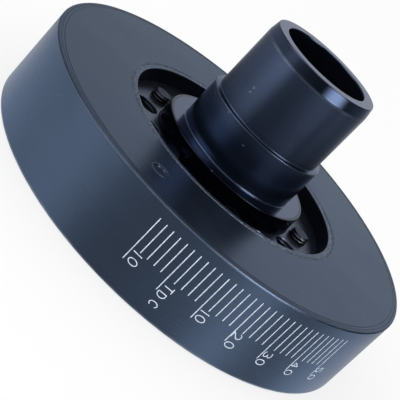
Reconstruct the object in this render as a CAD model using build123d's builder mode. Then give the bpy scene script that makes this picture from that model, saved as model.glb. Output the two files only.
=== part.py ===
"""Viscous torsional damper for the front of an engine crankshaft, known as a harmonic balancer.

A steel cup carries the timing scale on its rim. Its ring-shaped cavity is closed by a cover plate
and holds a heavy ring that floats in thick silicone fluid on a plastic band and small pads.
A stepped hub goes through the web of the cup and is held from the front by a ring of screws.

Millimetres. +Z runs along the crank axis towards the engine, the origin is the centre of the flat
front face, and the top-dead-centre mark of the scale points to -Y.
"""
from build123d import *
import os

os.makedirs("parts", exist_ok=True)

# Angles are counted from the top-dead-centre mark, counter-clockwise as seen from the engine
MARK = -90.0
STRAIGHT = 180.0
FULL_TURN = 360.0

# Cup: outside, recess and web
housing_diameter = 170.0
housing_width = 34.7
recess_diameter = 96.2
recess_depth = 6.2
web_thickness = 11.0
front_recess_diameter = 94.0
front_edge_break = 1.0
rear_edge_break = 0.5
recess_edge_break = 0.5

# Fluid cavity of the cup
front_wall = 5.0
rim_wall = 6.0
hub_wall = 5.2

# Cover plate, let into the rear face and welded along both seams
cover_thickness = 4.5
rim_lip = 2.1
recess_lip = 2.6
seam_gap = 0.05
seam_bevel = 0.3

# Filler and vent plugs, pressed into the cover plate
plug_diameter = 7.8
plug_inset = 15.4
plug_angle = -20.4
plug_dish_diameter = 5.2
plug_dish_depth = 0.4
plug_bevel = 0.4
plug_fit = 0.02

# Floating ring
fluid_gap = 0.5
ring_edge_break = 1.5

# Plastic band between the ring and the wall it turns on
band_thickness = 1.6
band_width = 14.0
band_running_gap = 0.08
band_seat_fit = 0.02
band_split = 2.0

# Thrust pads in both sides of the ring
pad_count = 6
pad_diameter = 10.0
pad_thickness = 3.0
pad_running_gap = 0.15
pad_fit = 0.02

# Hub: a flange in front of the web, a pilot through it and a stepped tube towards the engine
flange_thickness = 14.5
flange_gap = 0.4
flange_edge_break = 0.8
pilot_diameter = 66.0
pilot_fit = 0.02
pilot_height = 1.1
pilot_edge_break = 0.4
tube_diameter = 52.1
tube_length = 17.2
tube_foot_radius = 0.8
step_height = 1.0
nose_diameter = 48.4
nose_length = 31.3
lead_in_length = 4.6
lead_in_depth = 0.75
crank_bore = 37.6
bore_chamfer = 0.4
washer_seat_diameter = 50.0
washer_seat_depth = 3.0

# Screws that hold the hub, in pairs, put in from the front and threaded into the web
screw_pair_count = 3
screw_circle = 76.0
screw_pair_angle = -12.0
screw_pair_spread = 48.0
screw_diameter = 8.0
screw_length = 20.0
screw_head_diameter = 13.0
screw_head_height = 8.0
screw_socket_size = 6.0
screw_socket_depth = 4.0
screw_head_bevel = 0.6
screw_end_bevel = 0.8
screw_clearance_hole = 9.0
screw_head_pocket_diameter = 13.8
screw_head_pocket_depth = 8.25
thread_fit = 0.02

# Threaded holes for the pulleys, in pairs, right through the flange and the web
pulley_pair_count = 3
pulley_hole_circle = 78.0
pulley_pair_angle = 48.0
pulley_pair_spread = 24.0
pulley_hole_diameter = 8.5
pulley_hole_bevel = 0.5

# Places worked out from the sizes above
housing_radius = housing_diameter / 2
recess_radius = recess_diameter / 2
pilot_bore_radius = pilot_diameter / 2
cavity_outer = housing_radius - rim_wall
cavity_inner = recess_radius + hub_wall
cover_outer = housing_radius - rim_lip
cover_inner = recess_radius + recess_lip
cover_seat = housing_width - cover_thickness
plug_circle = 2 * (cover_outer - plug_inset)
web_rear = housing_width - recess_depth
web_front = web_rear - web_thickness
hub_front = web_front - flange_thickness
ring_outer = cavity_outer - fluid_gap
ring_inner = cavity_inner + fluid_gap
ring_front = front_wall + fluid_gap
ring_rear = cover_seat - fluid_gap
ring_middle = (ring_front + ring_rear) / 2
screw_head_seat = hub_front + screw_head_pocket_depth
screw_starts = (screw_pair_angle - screw_pair_spread / 2, screw_pair_angle + screw_pair_spread / 2)
pulley_starts = (pulley_pair_angle - pulley_pair_spread / 2, pulley_pair_angle + pulley_pair_spread / 2)
TOLERANCE = 1e-3


def band(low, high, outer, inner=0.0, mode=Mode.ADD):
    """A turned band between two heights and two radii, added to the part or cut from it."""
    with BuildSketch(Plane.XY.offset(low)) as section:
        Circle(outer)
        if inner > 0:
            Circle(inner, mode=Mode.SUBTRACT)
    extrude(section.sketch, amount=high - low, mode=mode)


def ring_edges(part, radius, height):
    """The circular edges about the crank axis that have this radius and height."""
    return ShapeList(
        edge
        for edge in part.edges().filter_by(GeomType.CIRCLE)
        if abs(edge.radius - radius) < TOLERANCE
        and (edge.arc_center - Vector(0, 0, height)).length < TOLERANCE
    )


def holes(height, depth, diameter, circle, starts, count):
    """Round holes upwards from one height, at the same spacing from each start angle."""
    with BuildSketch(Plane.XY.offset(height)) as mouths:
        for start in starts:
            with PolarLocations(circle / 2, count, MARK + start):
                Circle(diameter / 2)
    extrude(mouths.sketch, amount=depth, mode=Mode.SUBTRACT)


def bevelled_mouths(part, height, diameter, bevel):
    """Breaks the edges of all holes of one diameter that open at one height."""
    mouths = ShapeList(
        edge
        for edge in part.edges().filter_by(GeomType.CIRCLE)
        if abs(edge.radius - diameter / 2) < TOLERANCE and abs(edge.arc_center.Z - height) < TOLERANCE
    )
    chamfer(mouths, bevel)


def save(piece, name):
    """Labels one finished piece and writes it as its own file."""
    piece.part.label = name
    export_step(piece.part, f"parts/{name}.step")


# Cup with its web, cavity and seats
with BuildPart() as housing:
    band(0, housing_width, housing_radius)
    band(web_rear, housing_width, recess_radius, mode=Mode.SUBTRACT)
    band(0, web_front, front_recess_diameter / 2, mode=Mode.SUBTRACT)
    band(web_front, web_rear, pilot_bore_radius, mode=Mode.SUBTRACT)
    band(front_wall, housing_width, cavity_outer, cavity_inner, Mode.SUBTRACT)
    band(cover_seat, housing_width, cover_outer, cover_inner, Mode.SUBTRACT)
    screw_thread_hole = screw_diameter + 2 * thread_fit
    holes(web_front, web_thickness, screw_thread_hole, screw_circle, screw_starts, screw_pair_count)
    holes(web_front, web_thickness, pulley_hole_diameter, pulley_hole_circle, pulley_starts, pulley_pair_count)
    bevelled_mouths(housing.part, web_rear, pulley_hole_diameter, pulley_hole_bevel)
    chamfer(ring_edges(housing.part, housing_radius, 0), front_edge_break)
    chamfer(ring_edges(housing.part, front_recess_diameter / 2, 0), front_edge_break)
    chamfer(ring_edges(housing.part, housing_radius, housing_width), rear_edge_break)
    chamfer(ring_edges(housing.part, recess_radius, housing_width), recess_edge_break)
    chamfer(ring_edges(housing.part, pilot_bore_radius, web_rear), pilot_edge_break)
    chamfer(ring_edges(housing.part, cover_outer, housing_width), seam_bevel)
    chamfer(ring_edges(housing.part, cover_inner, housing_width), seam_bevel)
save(housing, "housing")

# Cover plate with the two plug holes
with BuildPart() as cover_plate:
    band(cover_seat, housing_width, cover_outer - seam_gap, cover_inner + seam_gap)
    holes(cover_seat, cover_thickness, plug_diameter, plug_circle, [plug_angle], 2)
    chamfer(ring_edges(cover_plate.part, cover_outer - seam_gap, housing_width), seam_bevel)
    chamfer(ring_edges(cover_plate.part, cover_inner + seam_gap, housing_width), seam_bevel)
save(cover_plate, "cover_plate")


def plug_at(angle):
    """A pressed plug with a dished face, level with the outside of the cover plate."""
    place = Plane.XY.rotated((0, 0, MARK + angle)) * Location((plug_circle / 2, 0, cover_seat))
    with BuildPart(Plane(place)) as plug:
        Cylinder(plug_diameter / 2 - plug_fit, cover_thickness, align=(Align.CENTER, Align.CENTER, Align.MIN))
        chamfer(plug.edges().group_by(Axis.Z)[-1], plug_bevel)
        top = plug.faces().sort_by(Axis.Z)[-1]
        with BuildSketch(top):
            Circle(plug_dish_diameter / 2)
        extrude(amount=-plug_dish_depth, mode=Mode.SUBTRACT)
    return plug


for name, angle in (("fill_plug", plug_angle), ("vent_plug", plug_angle + STRAIGHT)):
    save(plug_at(angle), name)

# Floating ring with the groove for its band and the pockets for its pads
band_groove_radius = cavity_inner + band_running_gap + band_thickness + band_seat_fit
pad_circle = ring_outer + ring_inner
pad_pocket_depth = pad_thickness + pad_running_gap - fluid_gap
pad_pitch = FULL_TURN / pad_count
with BuildPart() as inertia_ring:
    band(ring_front, ring_rear, ring_outer, ring_inner)
    half_groove = band_width / 2 + band_seat_fit
    band(ring_middle - half_groove, ring_middle + half_groove, band_groove_radius, mode=Mode.SUBTRACT)
    pocket = pad_diameter + 2 * pad_fit
    holes(ring_front, pad_pocket_depth, pocket, pad_circle, [0], pad_count)
    holes(ring_rear - pad_pocket_depth, pad_pocket_depth, pocket, pad_circle, [pad_pitch / 2], pad_count)
    for edge_radius in (ring_outer, ring_inner):
        for edge_height in (ring_front, ring_rear):
            chamfer(ring_edges(inertia_ring.part, edge_radius, edge_height), ring_edge_break)
save(inertia_ring, "inertia_ring")

# Split plastic band that carries the ring on the inner wall of the cavity
band_inner = cavity_inner + band_running_gap
with BuildPart() as bearing_band:
    band(ring_middle - band_width / 2, ring_middle + band_width / 2, band_inner + band_thickness, band_inner)
    with Locations((band_inner + band_thickness / 2, 0, ring_middle)):
        Box(2 * band_thickness, band_split, 2 * band_width, mode=Mode.SUBTRACT)
save(bearing_band, "bearing_band")


def pad_at(angle, low):
    """A plain round thrust pad, standing on this height."""
    place = Plane.XY.rotated((0, 0, MARK + angle)) * Location((pad_circle / 2, 0, low))
    with BuildPart(Plane(place)) as pad:
        Cylinder(pad_diameter / 2, pad_thickness, align=(Align.CENTER, Align.CENTER, Align.MIN))
    return pad


for number in range(pad_count):
    front_pad = pad_at(number * pad_pitch, front_wall + pad_running_gap)
    save(front_pad, f"front_thrust_pad_{number + 1}")
    rear_low = cover_seat - pad_running_gap - pad_thickness
    rear_pad = pad_at((number + 0.5) * pad_pitch, rear_low)
    save(rear_pad, f"rear_thrust_pad_{number + 1}")

# Hub, turned to its profile, then bored and drilled
flange_radius = front_recess_diameter / 2 - flange_gap
pilot_radius = pilot_bore_radius - pilot_fit
tube_radius = tube_diameter / 2
nose_radius = nose_diameter / 2
pilot_top = housing_width + pilot_height
tube_top = pilot_top + tube_length
nose_foot = tube_top + step_height
nose_top = nose_foot + nose_length
with BuildPart() as hub:
    with BuildSketch(Plane.XZ):
        with BuildLine():
            Polyline(
                (0, hub_front),
                (flange_radius, hub_front),
                (flange_radius, web_front),
                (pilot_radius, web_front),
                (pilot_radius, pilot_top),
                (tube_radius, pilot_top),
                (tube_radius, tube_top),
                (nose_radius, nose_foot),
                (nose_radius, nose_top - lead_in_length),
                (nose_radius - lead_in_depth, nose_top),
                (0, nose_top),
                close=True,
            )
        make_face()
    revolve(axis=Axis.Z)
    chamfer(ring_edges(hub.part, flange_radius, hub_front), flange_edge_break)
    chamfer(ring_edges(hub.part, pilot_radius, pilot_top), pilot_edge_break)
    fillet(ring_edges(hub.part, tube_radius, pilot_top), tube_foot_radius)
    band(hub_front, nose_top, crank_bore / 2, mode=Mode.SUBTRACT)
    chamfer(ring_edges(hub.part, crank_bore / 2, nose_top), bore_chamfer)
    band(hub_front, hub_front + washer_seat_depth, washer_seat_diameter / 2, mode=Mode.SUBTRACT)
    depth = flange_thickness
    pocket_depth = screw_head_pocket_depth
    holes(hub_front, depth, screw_clearance_hole, screw_circle, screw_starts, screw_pair_count)
    holes(hub_front, pocket_depth, screw_head_pocket_diameter, screw_circle, screw_starts, screw_pair_count)
    holes(hub_front, depth, pulley_hole_diameter, pulley_hole_circle, pulley_starts, pulley_pair_count)
    bevelled_mouths(hub.part, hub_front, pulley_hole_diameter, pulley_hole_bevel)
save(hub, "hub")


def screw_at(angle):
    """A socket-head cap screw, head down in the flange and its end standing out of the web."""
    place = Plane.XY.rotated((0, 0, MARK + angle)) * Location((screw_circle / 2, 0, screw_head_seat))
    upwards = (Align.CENTER, Align.CENTER, Align.MIN)
    downwards = (Align.CENTER, Align.CENTER, Align.MAX)
    with BuildPart(Plane(place)) as screw:
        Cylinder(screw_diameter / 2, screw_length, align=upwards)
        chamfer(screw.edges().group_by(Axis.Z)[-1], screw_end_bevel)
        Cylinder(screw_head_diameter / 2, screw_head_height, align=downwards)
        chamfer(screw.edges().group_by(Axis.Z)[0], screw_head_bevel)
        with BuildSketch(screw.faces().sort_by(Axis.Z)[0]):
            RegularPolygon(screw_socket_size / 2, 6, major_radius=False)
        extrude(amount=-screw_socket_depth, mode=Mode.SUBTRACT)
    return screw


for pair in range(screw_pair_count):
    for side, start in enumerate(screw_starts):
        number = 2 * pair + side + 1
        save(screw_at(start + pair * FULL_TURN / screw_pair_count), f"hub_screw_{number}")
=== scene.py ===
# %% [markdown]
# # A viscous harmonic balancer
# A harmonic balancer is bolted to the front of an engine's crankshaft. This one is a steel cup with a
# heavy ring inside that floats in thick silicone fluid. Outside one sees a slate-blue coated rim with a
# degree scale, a flat cover welded into the rear face, and a stepped glossy tube that takes the crank.
# The sizes below are in millimetres, and everything is scaled to metres when a mesh is made.

# %% Load the frame
import math
import bmesh
import bpy
import numpy as np
from mathutils import Matrix, Vector
from mathutils.geometry import delaunay_2d_cdt


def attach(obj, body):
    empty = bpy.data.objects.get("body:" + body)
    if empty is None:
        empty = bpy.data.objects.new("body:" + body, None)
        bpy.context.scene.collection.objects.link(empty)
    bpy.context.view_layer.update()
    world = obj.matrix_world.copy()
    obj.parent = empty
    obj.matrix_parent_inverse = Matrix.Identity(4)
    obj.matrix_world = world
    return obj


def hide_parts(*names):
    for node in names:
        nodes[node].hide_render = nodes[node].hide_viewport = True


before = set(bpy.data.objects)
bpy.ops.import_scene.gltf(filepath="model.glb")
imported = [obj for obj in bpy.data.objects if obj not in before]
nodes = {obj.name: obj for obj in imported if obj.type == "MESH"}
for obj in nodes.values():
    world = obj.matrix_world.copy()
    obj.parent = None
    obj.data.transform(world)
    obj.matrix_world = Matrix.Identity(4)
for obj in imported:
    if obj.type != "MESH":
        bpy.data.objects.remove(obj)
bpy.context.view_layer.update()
MM = 0.001
TAU = 2 * math.pi


def placed(name, data):
    """New object that shows some data, put in the scene."""
    thing = bpy.data.objects.new(name, data)
    bpy.context.scene.collection.objects.link(thing)
    return thing


# %% [markdown]
# ## The camera
# The photograph was taken from just above the plane of the rear face with the camera rolled by some
# forty degrees. A pinhole camera is three unit vectors, a place and a focal length, so those are
# written down directly instead of being turned into angles first.

# %% Camera
IMAGE_SIDE = 400
FOCAL_PIXELS = 1241.0
CENTRE_X, CENTRE_Y = 176.63, 156.40
CAMERA_PLACE = Vector((-59.35, -446.65, 179.71)) * MM
CAMERA_RIGHT = Vector((0.743568, 0.162086, 0.648745))
CAMERA_UP = Vector((-0.662679, 0.308232, 0.682559))
CAMERA_BACK = Vector((-0.089327, -0.937423, 0.336602))
camera_data = bpy.data.cameras.new("camera")
camera_data.sensor_width = 36.0
camera_data.lens = FOCAL_PIXELS / IMAGE_SIDE * camera_data.sensor_width
camera_data.shift_x = 0.5 - CENTRE_X / IMAGE_SIDE
camera_data.shift_y = CENTRE_Y / IMAGE_SIDE - 0.5
camera_data.clip_start = 0.01
camera_data.clip_end = 50.0
camera = placed("camera", camera_data)
camera.matrix_world = Matrix([(*CAMERA_RIGHT, 0), (*CAMERA_UP, 0), (*CAMERA_BACK, 0),
                              (*CAMERA_PLACE, 1)]).transposed()
bpy.context.scene.camera = camera
print("lens", round(camera_data.lens, 2), "shift", round(camera_data.shift_x, 4),
      round(camera_data.shift_y, 4))

# %% [markdown]
# ## Turning a profile
# Nearly every part of a balancer comes off a lathe, so its surface is a profile carried round the
# crank axis. Sharp corners never look real, because the little arc on each edge is what catches the
# light. The profile is therefore written as plain corners with a radius each, and the arcs are worked
# out. Each arc also gets a guard point on both sides, which keeps smooth shading flat on the flats,
# and a weight of one, which the materials read later to find the edges.


# %% Rounded profile
def unit(rows):
    """The same directions, each with length one."""
    return rows / np.linalg.norm(rows, axis=-1, keepdims=True)


def rounded(corners, steps=5, guard=0.12, closed=False):
    """Outline with an arc at each corner, as rows of (r, z), and a weight that is one on the arcs.

    With h half the angle at a corner and q its radius, the arc starts q / tan(h) from the corner along
    both sides, its centre lies q / sin(h) away along the line that halves the angle, and it spans 180 - 2h.
    """
    corners = np.asarray(corners, float)
    place, radius = corners[:, :2], corners[:, 2]
    before = np.roll(place, 1, 0) - place
    after = np.roll(place, -1, 0) - place
    before_length = np.linalg.norm(before, axis=1, keepdims=True)
    after_length = np.linalg.norm(after, axis=1, keepdims=True)
    before, after = before / before_length, after / after_length
    half = np.arccos(np.clip((before * after).sum(1), -0.999999, 0.999999)) / 2
    start = (radius / np.tan(half))[:, None]
    middle = unit(before + after)
    centre = place + middle * (radius / np.sin(half))[:, None]
    side = unit(before - middle * (before * middle).sum(1, keepdims=True))
    swing = np.linspace(-1, 1, steps)[None, :] * (math.pi / 2 - half)[:, None]
    arc = centre[:, None] + radius[:, None, None] * (
        -middle[:, None] * np.cos(swing)[..., None] - side[:, None] * np.sin(swing)[..., None])
    room_before = np.minimum(guard, (before_length - start - np.roll(start, 1, 0)) / 3)
    room_after = np.minimum(guard, (after_length - start - np.roll(start, -1, 0)) / 3)
    ahead = place + before * (start + room_before)
    behind = place + after * (start + room_after)
    rows = np.concatenate([ahead[:, None], arc, behind[:, None]], 1)
    weight = np.zeros(rows.shape[:2])
    weight[:, 1:-1] = (radius > 0)[:, None]
    if not closed:
        rows = [place[0], *rows[1:-1].reshape(-1, 2), place[-1]]
        return np.array(rows), np.concatenate([[0], weight[1:-1].ravel(), [0]])
    return rows.reshape(-1, 2), weight.ravel()


outline, weights = rounded([(1, 0, 0), (2, 0, 0.2), (2, 1, 0.2), (1, 1, 0)])
print("a square shoulder of", len(outline), "points, widest", round(float(outline[:, 0].max()), 3))


# %% Turned sheet
def grid_faces(rows, columns, closed_rows=False):
    """Four corners of each cell of a grid whose columns run round and meet again."""
    i, j = np.meshgrid(np.arange(rows if closed_rows else rows - 1), np.arange(columns), indexing="ij")
    next_row, next_column = (i + 1) % rows, (j + 1) % columns
    corners = [i * columns + j, i * columns + next_column, next_row * columns + next_column,
               next_row * columns + j]
    return np.stack(corners, -1).reshape(-1, 4)


def carried_round(radius, height, turn, centre=(0.0, 0.0)):
    """Points (x + r cos t, y + r sin t, z) for rows of radius and height and columns of turn."""
    radius, height, turn = np.broadcast_arrays(radius, height, turn)
    return np.stack([centre[0] + radius * np.cos(turn), centre[1] + radius * np.sin(turn), height], -1)


def round_steps(count):
    """Angles of equal steps round a full turn."""
    return TAU * np.arange(count) / count


def turned(profile, steps=256, centre=(0.0, 0.0), closed=False):
    """A sheet of surface: the profile's (r, z) rows carried round an upright axis through the centre."""
    rows, weight = profile
    points = carried_round(rows[:, :1], rows[:, 1:], round_steps(steps)[None, :], centre)
    return points.reshape(-1, 3), grid_faces(len(rows), steps, closed), np.repeat(weight, steps)


sheet = turned((outline, weights), 8)
print("turned sheet of", len(sheet[0]), "points and", len(sheet[1]), "faces")

# %% [markdown]
# ## Flat faces with holes
# The web and the flange are drilled with two rings of holes. A grid cannot carry round holes, so the
# flat faces are made by joining the circles of points with as few triangles as needed, and the
# triangles that fall inside a hole are thrown away. The circles repeat the points of the turned
# sheets around them, so everything closes when equal points are merged.


# %% Holed flat
JOIN_WITHIN = 1e-5


def holed_flat(height, inner, outer, holes, steps=256, hole_steps=48):
    """Flat ring at one height between two radii, less round holes given as (x, y, radius)."""
    circles = [(0.0, 0.0, inner, steps), (0.0, 0.0, outer, steps), *((*hole, hole_steps) for hole in holes)]
    points = np.concatenate([
        carried_round(radius, 0.0, round_steps(count), (x, y))[:, :2] for x, y, radius, count in circles])
    starts = np.cumsum([0] + [circle[3] for circle in circles[:-1]])
    edges = np.concatenate([
        np.stack([start + np.arange(count), start + (np.arange(count) + 1) % count], 1)
        for start, (_, _, _, count) in zip(starts, circles)])
    made = delaunay_2d_cdt([Vector(p) for p in points.tolist()], edges.tolist(), [], 0, JOIN_WITHIN)
    flat = np.array([v[:] for v in made[0]])
    faces = np.array(made[2])
    middle = flat[faces].mean(1)
    keep = np.ones(len(faces), bool)
    for number, (x, y, radius, count) in enumerate(circles):
        if number != 1:
            keep &= np.linalg.norm(middle - (x, y), axis=1) > radius * math.cos(math.pi / count)
    raised = np.column_stack([flat, np.full(len(flat), height)])
    return raised, faces[keep], np.zeros(len(flat))


def on_circle(circle_radius, angles):
    """Centres of holes on a circle, with angles in degrees from the top-dead-centre mark."""
    turn = np.radians(np.asarray(angles, float) - 90.0)
    return list(zip((circle_radius * np.cos(turn)).tolist(), (circle_radius * np.sin(turn)).tolist()))


drilled_ring = holed_flat(0.0, 1.0, 4.0, [(x, y, 0.5) for x, y in on_circle(2.5, [0, 120, 240])])
print("a ring with three holes takes", len(drilled_ring[1]), "triangles")

# %% [markdown]
# ## Threads
# A thread is a groove wound round a cylinder. Its grid is wound too: each row of points follows the
# helix, climbing one pitch per turn, so that the crest is a clean line instead of a staircase. Where
# the wound grid runs past an end it is pressed flat onto it, and the merged points close it.


# %% Wound thread
# Crests get an edge weight, so the finishes lighten them as they do edges: abraded coat and a painted glint.
THREAD_FLAT, CREST_WEIGHT = 0.125, 0.6


def wound(low, high, pitch, radius_at, centre=(0.0, 0.0), steps=48, rows_per_turn=8):
    """Threaded wall from low to high: point (i, j) has height low + pitch (i / rows - 1 + turn / full turn).

    radius_at gets the height and a wave that is nought at the root and one at the crest.
    """
    rows = rows_per_turn * (math.ceil((high - low) / pitch) + 2)
    row, column = np.meshgrid(np.arange(rows + 1), np.arange(steps), indexing="ij")
    turn = TAU * column / steps
    height = np.clip(low + pitch * (row / rows_per_turn - 1 + turn / TAU), low, high)
    ramp = 1 - np.abs(2 * (row / rows_per_turn % 1.0) - 1)
    wave = np.clip((ramp - THREAD_FLAT) / (1 - 2 * THREAD_FLAT), 0, 1)
    points = carried_round(radius_at(height, wave), height, turn, centre).reshape(-1, 3)
    i, j = np.meshgrid(np.arange(rows), np.arange(steps), indexing="ij")
    step_up = np.where(j == steps - 1, rows_per_turn, 0)
    beside_low, beside_high = np.minimum(i + step_up, rows), np.minimum(i + 1 + step_up, rows)
    beside = (j + 1) % steps
    corners = [i * steps + j, beside_low * steps + beside, beside_high * steps + beside, (i + 1) * steps + j]
    return points, np.stack(corners, -1).reshape(-1, 4), (CREST_WEIGHT * wave).ravel()


sample = wound(0.0, 3.0, 1.0, lambda height, wave: 4.0 + wave)
print("three turns of thread take", len(sample[0]), "points")

# %% [markdown]
# ## From sheets to a piece
# A piece is several sheets joined. Equal points are merged, faces that have shrunk to nothing go
# with them, and the faces are turned to point outwards. The edge weights travel along as an
# attribute of the points.


# %% Make a piece
MERGE_WITHIN, SHRUNK = 2e-6, 1e-7
BODY = "damper_body"


def piece_of(name, sheets, stands_for=(), sharp=32.0):
    """One object from sheets of (points in millimetres, faces, edge weights)."""
    starts = np.cumsum([0] + [len(points) for points, _, _ in sheets[:-1]])
    points = np.concatenate([points for points, _, _ in sheets]) * MM
    faces = [face for start, (_, corners, _) in zip(starts, sheets) for face in (corners + start).tolist()]
    mesh = bpy.data.meshes.new(name)
    mesh.from_pydata(points.tolist(), [], faces)
    edge = mesh.attributes.new("edge", "FLOAT", "POINT")
    edge.data.foreach_set("value", np.concatenate([weight for _, _, weight in sheets]).astype(np.float32))
    work = bmesh.new()
    work.from_mesh(mesh)
    bmesh.ops.remove_doubles(work, verts=work.verts, dist=MERGE_WITHIN)
    bmesh.ops.dissolve_degenerate(work, edges=work.edges, dist=SHRUNK)
    bmesh.ops.recalc_face_normals(work, faces=work.faces)
    open_edges = sum(1 for line in work.edges if len(line.link_faces) != 2)
    work.to_mesh(mesh)
    work.free()
    mesh.polygons.foreach_set("use_smooth", np.ones(len(mesh.polygons), bool))
    mesh.set_sharp_from_angle(angle=math.radians(sharp))
    piece = placed(name, mesh)
    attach(piece, BODY)
    if stands_for:
        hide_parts(*stands_for)
    print(name, len(mesh.vertices), "points,", len(mesh.polygons), "faces,", open_edges, "open edges")
    return piece


print("points closer than", MERGE_WITHIN / MM, "mm become one")

# %% [markdown]
# ## The cup
# The cup is the steel body with the wide rim. Its web carries the hub, and its ring-shaped cavity
# hides the floating ring. The rear face ends in a narrow rim lip and, around the recess, an inner
# lip, and the cover is let in between the two. Six plain holes take the hub screws and six threaded
# ones the pulleys.

# %% Cup sizes
RIM, WIDTH = 85.0, 34.7
RECESS, FRONT_RECESS = 48.1, 47.0
WEB_REAR, WEB_FRONT, HUB_FRONT = 28.5, 17.5, 3.0
SEAT, COVER_INNER, COVER_OUTER = 30.2, 50.7, 82.9
CAVITY_INNER, CAVITY_OUTER, CAVITY_FLOOR = 53.3, 79.0, 5.0
INNER_DROP, OUTER_DROP = 0.4, 0.14
PILOT_BORE = 33.0
SCREWS = on_circle(38.0, [pair + side for pair in (-12, 108, 228) for side in (-24, 24)])
THREADS = on_circle(39.0, [pair + side for pair in (48, 168, 288) for side in (-12, 12)])
SCREW_HOLE, SCREW_MOUTH = 4.02, 4.22
THREAD_CORE, THREAD_DEPTH, THREAD_PITCH, THREAD_MOUTH = 4.25, 0.72, 1.5, 5.05
print("screws and threaded holes", len(SCREWS), len(THREADS), "web", WEB_REAR - WEB_FRONT, "mm")


# %% Holes of the cup and the hub
def drilled(screw_radius, thread_radius):
    """Both patterns of holes as (x, y, radius), each pattern with its own radius."""
    return [(*c, screw_radius) for c in SCREWS] + [(*c, thread_radius) for c in THREADS]


def tapped(low, high, mouth, centre):
    """Threaded hole whose bevelled mouth is at one end and whose other end is left at the core size."""
    far_end = low if mouth == high else high

    def radius_at(height, wave):
        open_to = THREAD_MOUTH - np.abs(height - mouth)
        narrow_to = THREAD_CORE + np.abs(height - far_end)
        return np.minimum(np.maximum(THREAD_CORE + THREAD_DEPTH * wave, open_to), narrow_to)

    return wound(low, high, THREAD_PITCH, radius_at, centre)


def plain_hole(corners, centre, steps=48):
    """Plain or stepped round hole from its rounded profile."""
    return turned(rounded(corners, steps=4, guard=0.05), steps, centre)


print("faces in one threaded hole", len(tapped(WEB_FRONT, WEB_REAR, WEB_REAR, THREADS[0])[1]))

# %% Cup
REAR_FLAT, FRONT_FLAT = (33.45, 47.2), (33.3, 46.4)
RIM_LIP = ((83.7, 0.02, 0.2), (84.58, 0.11, 0.12), (RIM, 0.55, 0.15))
bore_wall = rounded([(REAR_FLAT[0], WEB_REAR, 0), (PILOT_BORE, WEB_REAR, 0.3),
                     (PILOT_BORE, WEB_FRONT, 0.1), (FRONT_FLAT[0], WEB_FRONT, 0)])
cup_wall = rounded([
    (REAR_FLAT[1], WEB_REAR, 0), (RECESS, WEB_REAR, 0.05), (RECESS, WIDTH, 0.45), (50.1, WIDTH, 0.25),
    (COVER_INNER, WIDTH - INNER_DROP, 0), (COVER_INNER, SEAT, 0), (CAVITY_INNER, SEAT, 0),
    (CAVITY_INNER, CAVITY_FLOOR, 1), (CAVITY_OUTER, CAVITY_FLOOR, 1), (CAVITY_OUTER, SEAT, 0),
    (COVER_OUTER, SEAT, 0), (COVER_OUTER, WIDTH - OUTER_DROP, 0),
    *((radius, WIDTH - below, round_by) for radius, below, round_by in RIM_LIP),
    (RIM, 0, 1.0), (FRONT_RECESS, 0, 0.8), (FRONT_RECESS, WEB_FRONT, 0.3), (FRONT_FLAT[1], WEB_FRONT, 0)])
screw_hole = [(SCREW_MOUTH, WEB_REAR, 0), (SCREW_HOLE, WEB_REAR, 0.12), (SCREW_HOLE, WEB_FRONT, 0)]
cup = piece_of("cup", [
    turned(bore_wall), turned(cup_wall),
    holed_flat(WEB_REAR, *REAR_FLAT, drilled(SCREW_MOUTH, THREAD_MOUTH)),
    holed_flat(WEB_FRONT, *FRONT_FLAT, drilled(SCREW_HOLE, THREAD_CORE)),
    *(plain_hole(screw_hole, c) for c in SCREWS),
    *(tapped(WEB_FRONT, WEB_REAR, WEB_REAR, c) for c in THREADS)],
    ["housing"])

# %% [markdown]
# ## The cover
# The cover closes the cavity. It lies flush in the rear face, and its two edges are welded to the cup,
# so one sees a soft line near the rim and a grainy, paler ring around the recess. The edges of the cup
# and the cover slope down to each other, and a seam lies in each groove, a lens in section.

# %% Cover
PLUG_RADIUS, PLUG_CIRCLE = 3.9, 67.5
PLUG_MOUTH = PLUG_RADIUS + 0.25
PLUGS = on_circle(PLUG_CIRCLE, (-20.4, 159.6))
COVER_FLAT, COVER_EDGES = (51.6, 81.4), (50.75, 82.85)
inner_edge = rounded([(COVER_FLAT[0], WIDTH, 0), (51.3, WIDTH, 0.25), (COVER_EDGES[0], WIDTH - INNER_DROP, 0),
                      (COVER_EDGES[0], SEAT, 0), (COVER_FLAT[0], SEAT, 0)])
outer_edge = rounded([(COVER_FLAT[1], WIDTH, 0), (82.0, WIDTH, 0.2), (COVER_EDGES[1], WIDTH - OUTER_DROP, 0),
                      (COVER_EDGES[1], SEAT, 0), (COVER_FLAT[1], SEAT, 0)])
plug_hole = [(PLUG_MOUTH, WIDTH, 0), (PLUG_RADIUS, WIDTH, 0.15), (PLUG_RADIUS, SEAT, 0)]
cover = piece_of("cover_face", [
    turned(inner_edge), turned(outer_edge),
    holed_flat(WIDTH, *COVER_FLAT, [(*c, PLUG_MOUTH) for c in PLUGS]),
    holed_flat(SEAT, *COVER_FLAT, [(*c, PLUG_RADIUS) for c in PLUGS]),
    *(plain_hole(plug_hole, c) for c in PLUGS)],
    ["cover_plate"])


# %% Seams
def seam(name, middle, half_width, drop, lean):
    """Weld seam in its groove: a lens in section, lean u - drop u u above the face, u from -1 to 1."""
    across = np.linspace(-1, 1, 13)
    top = np.column_stack([middle + half_width * across, WIDTH + lean * across - drop * across ** 2])
    root = WIDTH - drop - 0.1
    base = np.array([[middle + half_width * 0.2, root], [middle - half_width * 0.2, root]])
    rows = np.concatenate([top, base])
    return piece_of(name, [turned((rows, np.zeros(len(rows))), closed=True)])


inner_seam = seam("inner_seam", 50.72, 0.55, 0.22, 0.06)
outer_seam = seam("outer_seam", 82.9, 0.6, 0.13, -0.01)

# %% [markdown]
# ## The plugs
# Two holes in the cover let the silicone fluid in and the air out, and a small steel plug is pressed
# into each. Its edge stands flush and its middle is dished a little, so from afar it is only a ring.

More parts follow.
